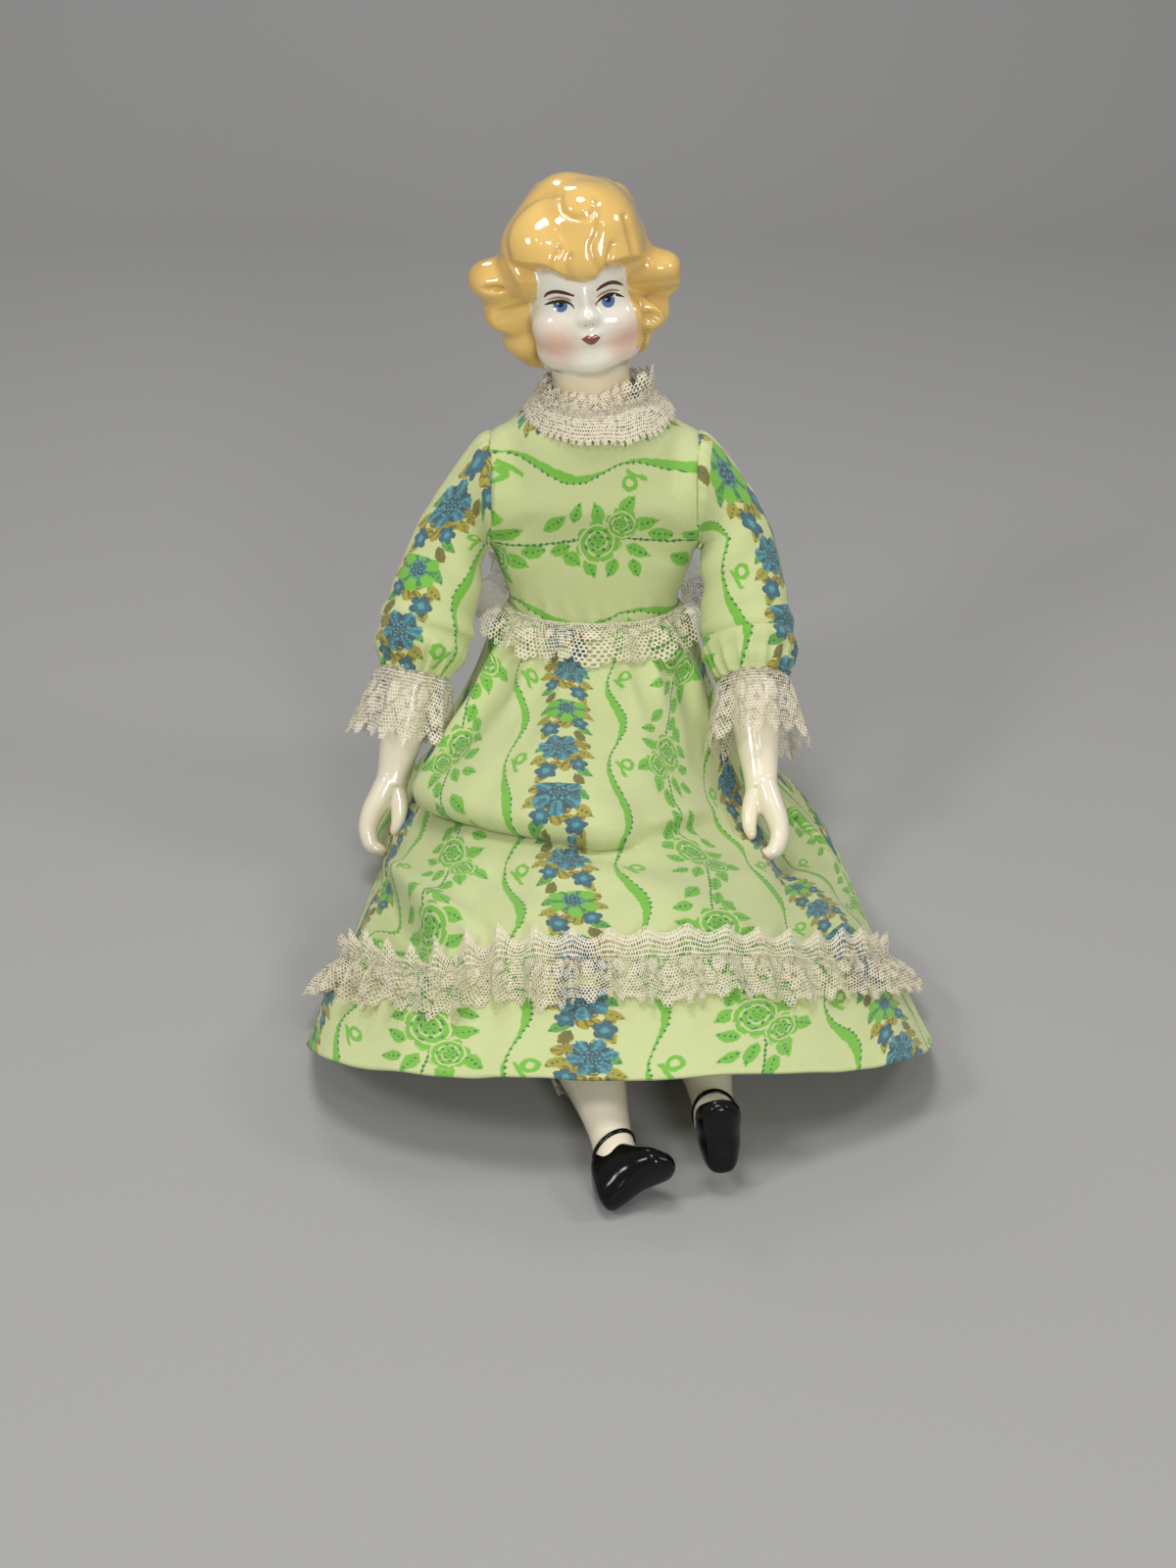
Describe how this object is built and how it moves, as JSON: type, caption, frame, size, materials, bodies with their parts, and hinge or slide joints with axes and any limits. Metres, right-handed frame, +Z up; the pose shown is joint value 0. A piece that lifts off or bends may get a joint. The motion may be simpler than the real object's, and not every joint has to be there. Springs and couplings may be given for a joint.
{
  "type": "porcelain head doll",
  "caption": "Seated doll with a glazed shoulder head, forearms and lower legs on a stuffed cloth body, in a printed cotton frock with lace trim.",
  "frame": {"origin": "on the table under the doll's seat, below the hips", "axes": "the doll faces -Y, its left is +X and up is +Z"},
  "size_m": [0.1967, 0.2914, 0.2335],
  "materials": {
    "glazed_porcelain": "glossy white glaze, hand painted",
    "muslin": "plain woven",
    "stuffing": "loose fill",
    "printed_cotton": "printed plain weave",
    "lace": "cotton lace",
    "white_lawn": "plain woven",
    "thread": "waxed thread",
    "snap_steel": "nickel"
  },
  "bodies": {
    "lap": {"skirt": "printed_cotton", "hem_lace": "lace", "right_thigh": "muslin", "right_thigh_stuffing": "stuffing", "right_drawers_leg": "white_lawn", "right_drawers_lace": "lace", "right_leg_tie": "thread", "left_thigh": "muslin", "left_thigh_stuffing": "stuffing", "left_drawers_leg": "white_lawn", "left_drawers_lace": "lace", "left_leg_tie": "thread"},
    "torso": {"torso_casing": "muslin", "torso_stuffing": "stuffing", "shoulder_head": "glazed_porcelain", "head_stuffing": "stuffing", "bodice": "printed_cotton", "waist_lace": "lace", "collar_lower_tier": "lace", "collar_upper_tier": "lace", "back_placket": "printed_cotton", "back_snap_1": "snap_steel", "back_snap_2": "snap_steel", "back_snap_3": "snap_steel", "plate_stitch_front_right": "thread", "plate_stitch_back_right": "thread", "plate_stitch_front_left": "thread", "plate_stitch_back_left": "thread"},
    "right_arm": {"right_sleeve": "printed_cotton", "right_upper_arm": "muslin", "right_arm_stuffing": "stuffing"},
    "right_hand": {"right_forearm": "glazed_porcelain", "right_arm_tie": "thread", "right_cuff_lace": "lace"},
    "right_shin": {"right_lower_leg": "glazed_porcelain"},
    "left_arm": {"left_sleeve": "printed_cotton", "left_upper_arm": "muslin", "left_arm_stuffing": "stuffing"},
    "left_hand": {"left_forearm": "glazed_porcelain", "left_arm_tie": "thread", "left_cuff_lace": "lace"},
    "left_shin": {"left_lower_leg": "glazed_porcelain"}
  },
  "joints": [
    {"name": "hip_fold", "type": "hinge", "parent": "lap", "child": "torso", "pos_m": [0, -0.004, 0.022], "axis": [-1, 0, 0], "range_deg": [-8, 35], "deforming": ["skirt"]},
    {"name": "right_shoulder", "type": "hinge", "parent": "torso", "child": "right_arm", "pos_m": [-0.0364, 0.001, 0.124], "axis": [-1, 0, 0], "range_deg": [0, 95]},
    {"name": "right_elbow", "type": "hinge", "parent": "right_arm", "child": "right_hand", "pos_m": [-0.05917, -0.02008, 0.08263], "axis": [-1, 0, 0], "range_deg": [0, 60], "deforming": ["right_sleeve", "right_upper_arm", "right_arm_stuffing"]},
    {"name": "right_leg_turn", "type": "hinge", "parent": "lap", "child": "right_shin", "pos_m": [-0.01, -0.142, 0.027], "axis": [-0.1902, 0.9611, 0.2002], "range_deg": [-90, 12]},
    {"name": "left_shoulder", "type": "hinge", "parent": "torso", "child": "left_arm", "pos_m": [0.0364, 0.001, 0.124], "axis": [-1, 0, 0], "range_deg": [0, 95]},
    {"name": "left_elbow", "type": "hinge", "parent": "left_arm", "child": "left_hand", "pos_m": [0.05407, -0.02319, 0.08036], "axis": [-1, 0, 0], "range_deg": [0, 45], "deforming": ["left_sleeve", "left_upper_arm", "left_arm_stuffing"]},
    {"name": "left_leg_turn", "type": "hinge", "parent": "lap", "child": "left_shin", "pos_m": [0.028, -0.13, 0.025], "axis": [-0.0851, 0.9913, 0.1001], "range_deg": [-45, 45]}
  ]
}
